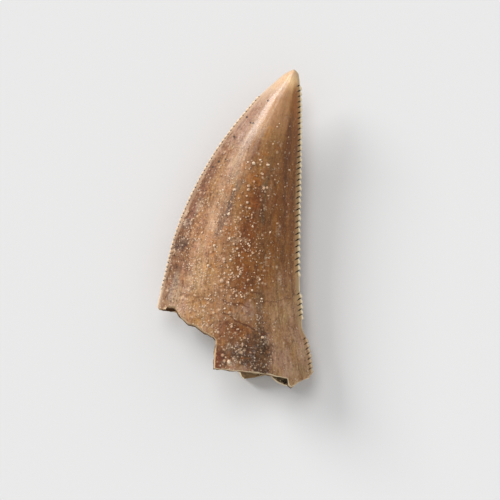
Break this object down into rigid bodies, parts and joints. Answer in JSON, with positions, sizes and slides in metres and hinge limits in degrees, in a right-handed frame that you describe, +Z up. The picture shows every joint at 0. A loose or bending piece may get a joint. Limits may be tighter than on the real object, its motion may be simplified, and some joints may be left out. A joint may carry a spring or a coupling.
{
  "type": "fossil dinosaur tooth",
  "caption": "Shed crown of a small meat-eating dinosaur's tooth: a flattened, back-curved blade with saw-toothed edges and a hollow, broken base, lying on its side.",
  "frame": {"origin": "middle of the bounding box, on the surface that the tooth lies on", "axes": "+Z up from that surface, +Y along the crown towards its tip, +X towards the rear cutting edge"},
  "size_m": [0.0148, 0.0301, 0.0074],
  "materials": {
    "enamel": "satin, brown fossil enamel with darker streaks and a cream tip",
    "sand_grains": "matte, pale quartz sand"
  },
  "bodies": {
    "root": {"tooth_crown": "enamel"}
  },
  "joints": []
}
